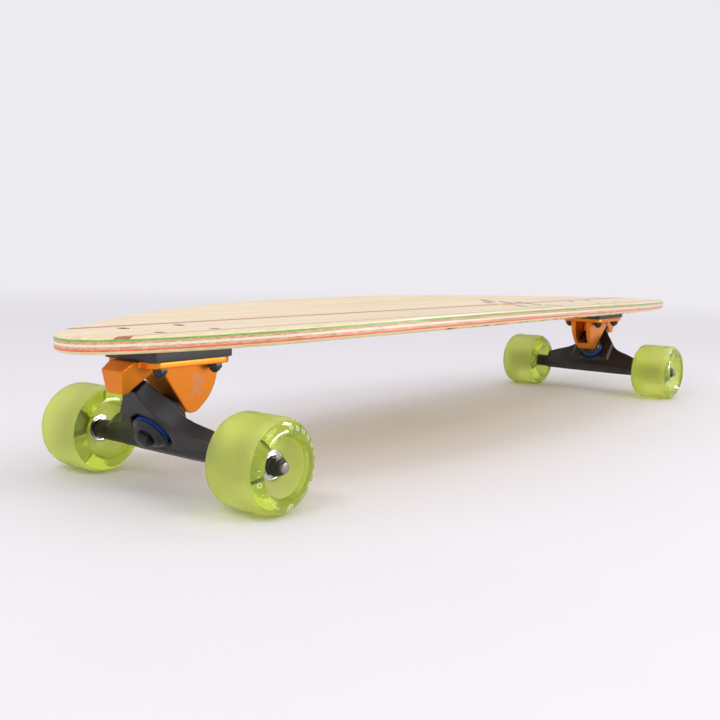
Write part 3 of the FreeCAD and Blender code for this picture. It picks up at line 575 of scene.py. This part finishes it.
def strip_cutter():
    """The two long boxes that the inlaid strips are cut with."""
    half = STRINGER_WIDTH / 2
    grids = []
    for side in (1, -1):
        y = side * STRINGER_OFFSET
        loop = np.array(((y - half, CUTTER_FOOT), (y + half, CUTTER_FOOT),
                         (y + half, CUTTER_HEAD), (y - half, CUTTER_HEAD)))
        ends = np.stack((np.full(4, y), np.full(4, (CUTTER_FOOT + CUTTER_HEAD) / 2)), -1)
        rows = [np.concatenate((np.full((4, 1), x), part), 1)
                for x, part in ((-600.0, ends), (-600.0, loop), (600.0, loop), (600.0, ends))]
        grids.append((np.stack(rows), False, True))
    return from_grids("strip_cutter", grids)


def build_deck():
    """Every ply and the inlaid strips."""
    outline = half_outline()
    along = np.gradient(outline, axis=0)
    normals = np.stack((along[:, 1], -along[:, 0]), -1)
    normals /= np.linalg.norm(normals, axis=1)[:, None]
    normals[0], normals[-1] = (1, 0), (-1, 0)
    bolts, strips = bolt_cutter(), strip_cutter()
    top = 0.0
    for name, thickness, slot in PLIES:
        grid = ply_grid(outline, normals, top, top + thickness)
        piece = from_grids("wood_" + name, [(grid, False, True)])
        cut(piece, bolts, "DIFFERENCE")
        if name == "deck_top_ply":
            inlay = bpy.data.objects.new("wood_deck_stringers", piece.data.copy())
            bpy.context.scene.collection.objects.link(inlay)
            cut(inlay, strips, "INTERSECT")
            cut(piece, strips, "DIFFERENCE")
            finish_piece(inlay, "deck", "dark_hardwood", "deck_stringers")
        veneer = MATERIALS["printed_veneer"] if name == "deck_bottom_ply" else None
        finish_piece(piece, "deck", slot, name, material=veneer)
        top += thickness
    for cutter in (bolts, strips):
        bpy.data.objects.remove(cutter)


# --- wheels --------------------------------------------------------------------------------
def wheel_profile():
    """A wheel's closed outline as (radius, distance from its middle): tread, round lips, hollow
    dishes and the two bearing seats."""
    lip_r, lip_y = WHEEL_RADIUS - LIP_RADIUS, WHEEL_HALF - LIP_RADIUS
    a = np.linspace(0, pi / 2, 16)
    lip = np.stack((lip_r + LIP_RADIUS * np.cos(a), lip_y + LIP_RADIUS * np.sin(a)), -1)
    hollow = DISH_HOLLOW * sqrt(0.5)
    middle = ((lip_r + DISH_FLOOR[0]) / 2 + hollow, (WHEEL_HALF + DISH_FLOOR[1]) / 2 - hollow)
    dish = arc_through((lip_r, WHEEL_HALF), middle, DISH_FLOOR, 14)[1:]
    seat = np.array(((SEAT_RADIUS, DISH_FLOOR[1] - 1), (SEAT_RADIUS, BEARING_INNER_END),
                     (SHOULDER_RADIUS, BEARING_INNER_END)))
    half = np.concatenate((lip, dish, seat))
    tread = np.stack((np.full(7, WHEEL_RADIUS), np.linspace(-lip_y, lip_y, 9)[1:-1]), -1)
    mirrored = half[::-1] * np.array((1, -1))
    return np.concatenate((mirrored, tread, half))


def build_wheels():
    """Four urethane wheels."""
    for end in AXLE_X:
        for hand in HANDS:
            grid = turned(wheel_profile(), wheel_frame(end, hand), 160)
            piece = from_grids(f"urethane_{end}_{hand}_wheel", [grid])
            finish_piece(piece, f"{end}_{hand}_wheel", "lime_urethane", f"{end}_{hand}_wheel")


# --- castings and small parts --------------------------------------------------------------
def copy_of(node_name, name):
    """A copy of a CAD node's mesh with its loose triangles joined."""
    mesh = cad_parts[node_name].data.copy()
    mesh.name = name
    for layer in [a.name for a in mesh.attributes if a.name == "custom_normal"]:
        mesh.attributes.remove(mesh.attributes[layer])
    piece = bpy.data.objects.new(name, cleaned(mesh))
    bpy.context.scene.collection.objects.link(piece)
    return piece


def cast(node_name, name, cell_mm, passes):
    """A CAD solid with the soft edges of a casting: meshed again in cells of cell_mm and
    relaxed, which rounds every edge by about a millimetre."""
    piece = copy_of(node_name, name)
    remesh = piece.modifiers.new("remesh", "REMESH")
    remesh.mode = "VOXEL"
    remesh.voxel_size = cell_mm * MM
    remesh.use_smooth_shade = True
    relax = piece.modifiers.new("relax", "SMOOTH")
    relax.factor = 0.5
    relax.iterations = passes
    bake(piece)
    return piece


def bevelled(node_name, name, width_mm):
    """A CAD solid with narrow rounded edges."""
    piece = copy_of(node_name, name)
    work = bmesh.new()
    work.from_mesh(piece.data)
    bmesh.ops.dissolve_limit(work, angle_limit=radians(0.5), verts=work.verts, edges=work.edges)
    work.to_mesh(piece.data)
    work.free()
    bevel = piece.modifiers.new("bevel", "BEVEL")
    bevel.width = width_mm * MM
    bevel.segments = 2
    bevel.limit_method = "ANGLE"
    bevel.angle_limit = radians(30)
    bake(piece)
    return piece


def washer_profile(back):
    """A pressed cup: flat back, domed shoulder, a step and a skirt, hollow inside."""
    outside = rounded([(4.92, back, 0), (8.8, back, 2.0), (12.0, back - 0.9, 1.6), (13.0, back - 2.9, 0.6),
                       (15.0, back - 4.3, 0.5), (15.0, back - 5.15, 0.3), (13.5, back - 5.15, 0)])
    inside = np.array(((8.8, back - 1.4), (4.92, back - 1.4)))
    return np.concatenate((outside, inside))


def build_trucks():
    """Castings, fasteners, bushings and bearings of both trucks."""
    for end in AXLE_X:
        hanger = cast(f"{end}_hanger", f"casting_{end}_hanger", 0.7, 8)
        finish_piece(hanger, f"{end}_hanger", "black_casting", f"{end}_hanger")
        plate = cast(f"{end}_baseplate", f"casting_{end}_baseplate", 0.6, 12)
        finish_piece(plate, "deck", "orange_anodised", f"{end}_baseplate")
        frame_of = kingpin_frame(end)
        cups = [turned(washer_profile(back) * np.array((1, side)), frame_of) for side, back in CUP_SEATS]
        washers = from_grids(f"pressed_{end}_cup_washers", cups)
        finish_piece(washers, "deck", "black_steel", f"{end}_cup_washers")
        for name, body, slot, width in (
                ("riser_pad", "deck", "riser_rubber", 0.3), ("kingpin", "deck", "black_steel", 0.3),
                ("kingpin_nut", "deck", "black_steel", 0.3),
                ("mounting_bolts", "deck", "black_steel", 0.15),
                ("mounting_nuts", "deck", "black_steel", 0.3), ("pivot_cup", "deck", "pivot_plastic", 0.2),
                ("bushing_boardside", "deck", "blue_urethane", 0.5),
                ("bushing_roadside", "deck", "blue_urethane", 0.5),
                ("axle", f"{end}_hanger", "plain_steel", 0.2),
                ("axle_nuts", f"{end}_hanger", "black_steel", 0.3),
                ("speed_washers", f"{end}_hanger", "plain_steel", 0.1)):
            piece = bevelled(f"{end}_{name}", f"part_{end}_{name}", width)
            finish_piece(piece, body, slot, f"{end}_{name}")
        for hand in HANDS:
            for name, body, slot in (("bearing_outer_rings", f"{end}_{hand}_wheel", "bearing_steel"),
                                     ("bearing_inner_rings", f"{end}_hanger", "bearing_steel"),
                                     ("bearing_balls", f"{end}_{hand}_wheel", "bearing_steel"),
                                     ("bearing_shields", f"{end}_{hand}_wheel", "bearing_shield"),
                                     ("bearing_spacer", f"{end}_hanger", "plain_steel")):
                piece = bevelled(f"{end}_{hand}_{name}", f"part_{end}_{hand}_{name}", 0.12)
                finish_piece(piece, body, slot, f"{end}_{hand}_{name}")


# --- prints --------------------------------------------------------------------------------
def strips(name, outlines, carry, sink=INK_THICKNESS):
    """Thin closed marks. Each outline is (path of (u, v) in mm, width, closed): its edges lie half
    a width along the path's normals, and carry(points, lift) takes them onto a surface, once
    lifted by the ink's thickness and once sunk below."""
    grids = []
    for path, width, closed in outlines:
        path = np.asarray(path, float)
        ahead = np.roll(path, -1, 0) - np.roll(path, 1, 0) if closed else np.gradient(path, axis=0)
        normals = np.stack((-ahead[:, 1], ahead[:, 0]), -1)
        normals *= width / 2 / np.linalg.norm(normals, axis=1)[:, None]
        left, right = path + normals, path - normals
        loop = np.stack((carry(left, INK_THICKNESS), carry(right, INK_THICKNESS),
                         carry(right, -sink), carry(left, -sink)), 1)
        if not closed:
            ends = np.repeat(loop.mean(axis=1, keepdims=True), 4, axis=1)
            loop = np.concatenate((ends[:1], loop, ends[-1:]))
        grids.append((loop, closed, True))
    return from_grids(name, grids)


def ring(u, v, radius, width):
    """A ring-shaped outline."""
    t = np.linspace(0, 2 * pi, 28, endpoint=False)
    return np.stack((u + radius * np.cos(t), v + radius * np.sin(t)), -1), width, True


def line(u0, v0, u1, v1, width, steps=9):
    """A straight stroke as an outline."""
    return np.linspace((u0, v0), (u1, v1), steps), width, False


def scroll(u, v, size, turns, start, width):
    """A spiral outline: its radius shrinks evenly from size to a fifth of it."""
    t = np.linspace(0, 1, 30)
    radius, angle = size * (1 - 0.8 * t), start + turns * 2 * pi * t
    return np.stack((u + radius * np.cos(angle), v + radius * np.sin(angle)), -1), width, False


def wheel_outlines():
    """Plain strokes and rings round the face, starting at the top and running clockwise; u is
    the distance round in mm."""
    at = MARK_RADIUS * pi / 180
    made = []
    for i, degrees in enumerate(range(96, 196, 14)):
        u = degrees * at
        if i % 3 == 1:
            made.append(ring(u, 0, 1.5, 0.7))
        else:
            made += [line(u - 1.1, -1.9, u - 1.1, 1.9, 0.75), line(u + 1.1, -1.9, u + 1.1, 1.9, 0.75)]
    for degrees in (214, 263):
        made += [ring(degrees * at, 0, 2.7, 0.8), ring(degrees * at, 0, 1.0, 0.8)]
    for degrees, v in ((228, 1.6), (286, 0.6), (302, 2.0)):
        made.append(line(degrees * at, v, (degrees + 14) * at, v + 0.8, 0.4, 14))
    for degrees in (322, 330, 358, 366):
        made.append(line(degrees * at, -0.6, degrees * at, 1.6, 0.5))
    made.append(ring(346 * at, 0.4, 1.6, 0.5))
    return made


def on_lip(end, hand):
    """Carries (u, v) onto a wheel's outer lip: u / 28.6 is the angle round the axle and
    65 degrees + v / 11 the angle on the lip's arc."""
    turn = radians(MARK_TURNS[f"{end}_{hand}"])

    def carry(points, lift):
        round_axle = HANDS[hand] * points[:, 0] / MARK_RADIUS + turn
        on_arc = radians(MARK_LIP_ANGLE) + points[:, 1] / LIP_RADIUS
        radius = WHEEL_RADIUS - LIP_RADIUS + (LIP_RADIUS + lift) * np.cos(on_arc)
        height = WHEEL_HALF - LIP_RADIUS + (LIP_RADIUS + lift) * np.sin(on_arc)
        local = np.stack((radius * np.cos(round_axle), radius * np.sin(round_axle), height), -1)
        return place(local, wheel_frame(end, hand))

    return carry


def on_fin(points, lift):
    """Carries (distance forward, height above the axle) onto the front fin's left side, whose
    distance from the middle falls evenly from FIN_ROOT to FIN_FOOT."""
    lean = (FIN_ROOT[1] - FIN_FOOT[1]) / (FIN_ROOT[0] - FIN_FOOT[0])
    y = FIN_ROOT[1] - (FIN_ROOT[0] - points[:, 1]) * lean + lift
    return np.stack((AXLE_X["front"] + points[:, 0], y, AXLE_Z + points[:, 1]), -1)


def on_deck(points, lift):
    """Carries (x, y) onto the deck's top face."""
    return np.stack((points[:, 0], points[:, 1], deck_height(points[:, 1], 0) + lift), -1)


def build_prints():
    """Plain ornament where the board is printed or etched."""
    for end in AXLE_X:
        for hand in HANDS:
            marks = strips(f"ink_{end}_{hand}_wheel_marks", wheel_outlines(), on_lip(end, hand))
            finish_piece(marks, f"{end}_{hand}_wheel", "lime_urethane", material=MATERIALS["pale_ink"])
    u, v = FIN_ORNAMENT
    curls = [scroll(u + 2.6, v + 4.0, 4.2, 1.2, 0.4, 0.7),
             scroll(u - 2.6, v - 4.0, 4.2, 1.2, 0.4 + pi, 0.7),
             scroll(u - 4.0, v + 3.4, 2.6, 0.9, 3.4, 0.6),
             scroll(u + 4.0, v - 3.4, 2.6, 0.9, 0.2, 0.6),
             line(u - 6.5, v + 8.5, u + 6.5, v - 9.5, 0.6, 12)]
    etching = strips("etched_front_fin_ornament", curls, on_fin, 0.6)
    finish_piece(etching, "deck", "orange_anodised", material=MATERIALS["etched_aluminium"])
    for ink, bands in DECK_PRINT.items():
        outlines = [line(*band, 12) for band in bands]
        piece = strips(f"ink_deck_{ink}", outlines, on_deck)
        finish_piece(piece, "deck", "bamboo_face", material=MATERIALS[ink])


# --- studio --------------------------------------------------------------------------------
def add_camera():
    """The camera, from its yaw, pitch and roll."""
    yaw, pitch, roll = radians(CAMERA_YAW), radians(CAMERA_PITCH), radians(CAMERA_ROLL)
    look = Vector((-cos(yaw) * cos(pitch), -sin(yaw) * cos(pitch), -sin(pitch)))
    right = look.cross(Vector((0, 0, 1))).normalized()
    up = right.cross(look)
    tilted_right = right * cos(roll) + up * sin(roll)
    tilted_up = up * cos(roll) - right * sin(roll)
    data = bpy.data.cameras.new("camera")
    data.lens = LENS
    data.sensor_width = 36
    data.clip_start = 0.01
    camera = bpy.data.objects.new("camera", data)
    bpy.context.scene.collection.objects.link(camera)
    turn = Matrix((tilted_right, tilted_up, -look)).transposed()
    camera.matrix_world = Matrix.Translation(CAMERA_PLACE) @ turn.to_4x4()
    bpy.context.scene.camera = camera


def add_floor():
    """A wide pale floor that fades into the room's own colour far from the board."""
    mesh = bpy.data.meshes.new("floor")
    half = 6.0
    corners = [(-half, -half, 0), (half, -half, 0), (half, half, 0), (-half, half, 0)]
    mesh.from_pydata(corners, [], [(0, 1, 2, 3)])
    floor = add_object("floor", mesh)
    material, tree, shader = new_material("studio_floor")
    tone = stretched_noise(tree, (3.0, 3.0, 3.0))
    tree.links.new(ramp(tree, tone, [(0.2, "#E6E3E7"), (0.8, "#EAE8EB")]), shader.inputs["Base Color"])
    shader.inputs["Roughness"].default_value = 0.7
    place_of = node(tree, "TexCoord").outputs["Object"]
    far = node(tree, "VectorMath", {0: place_of}, operation="LENGTH").outputs["Value"]
    gone = node(tree, "MapRange", {"Value": far, "From Min": 0.9, "From Max": 3.4},
                interpolation_type="SMOOTHSTEP").outputs[0]
    clear = node(tree, "BsdfTransparent")
    blend = node(tree, "MixShader", {0: gone, 1: shader.outputs[0], 2: clear.outputs[0]})
    tree.links.new(blend.outputs[0], tree.nodes["Material Output"].inputs["Surface"])
    floor.data.materials.append(material)


def add_softbox(name, place_at, aim, size, watts, card=False):
    """A rectangular area light, aimed at a point. A card shows in reflections but lights nothing."""
    data = bpy.data.lights.new(name, "AREA")
    data.shape = "RECTANGLE"
    data.size, data.size_y = size
    data.energy = watts
    lamp = bpy.data.objects.new(name, data)
    bpy.context.scene.collection.objects.link(lamp)
    lamp.location = place_at
    lamp.rotation_euler = (Vector(aim) - Vector(place_at)).to_track_quat("-Z", "Y").to_euler()
    lamp.visible_diffuse = not card


def build_studio():
    """Camera, floor, room light and softboxes."""
    add_camera()
    add_floor()
    world = bpy.data.worlds.new("room")
    bpy.context.scene.world = world
    world.use_nodes = True
    background = world.node_tree.nodes["Background"]
    background.inputs["Color"].default_value = rgb(ROOM)
    background.inputs["Strength"].default_value = 1.0
    add_softbox("left_softbox", (1.5, 0.1, 1.5), (0.3, 0, 0.05), (0.7, 0.5), 6)
    add_softbox("right_softbox", (-0.1, 1.9, 1.9), (0.2, 0, 0.05), (1.2, 1.2), 15)
    add_softbox("low_card", (-0.9, 1.9, 0.35), (0.3, 0, 0.05), (0.8, 0.5), 20, card=True)
    add_softbox("rear_card", (-0.88, 0.64, 1.15), (0.43, 0.12, 0.03), (0.5, 0.5), 12, card=True)
    bpy.context.scene.view_settings.view_transform = "Standard"


build_deck()
build_wheels()
build_trucks()
build_prints()
build_studio()
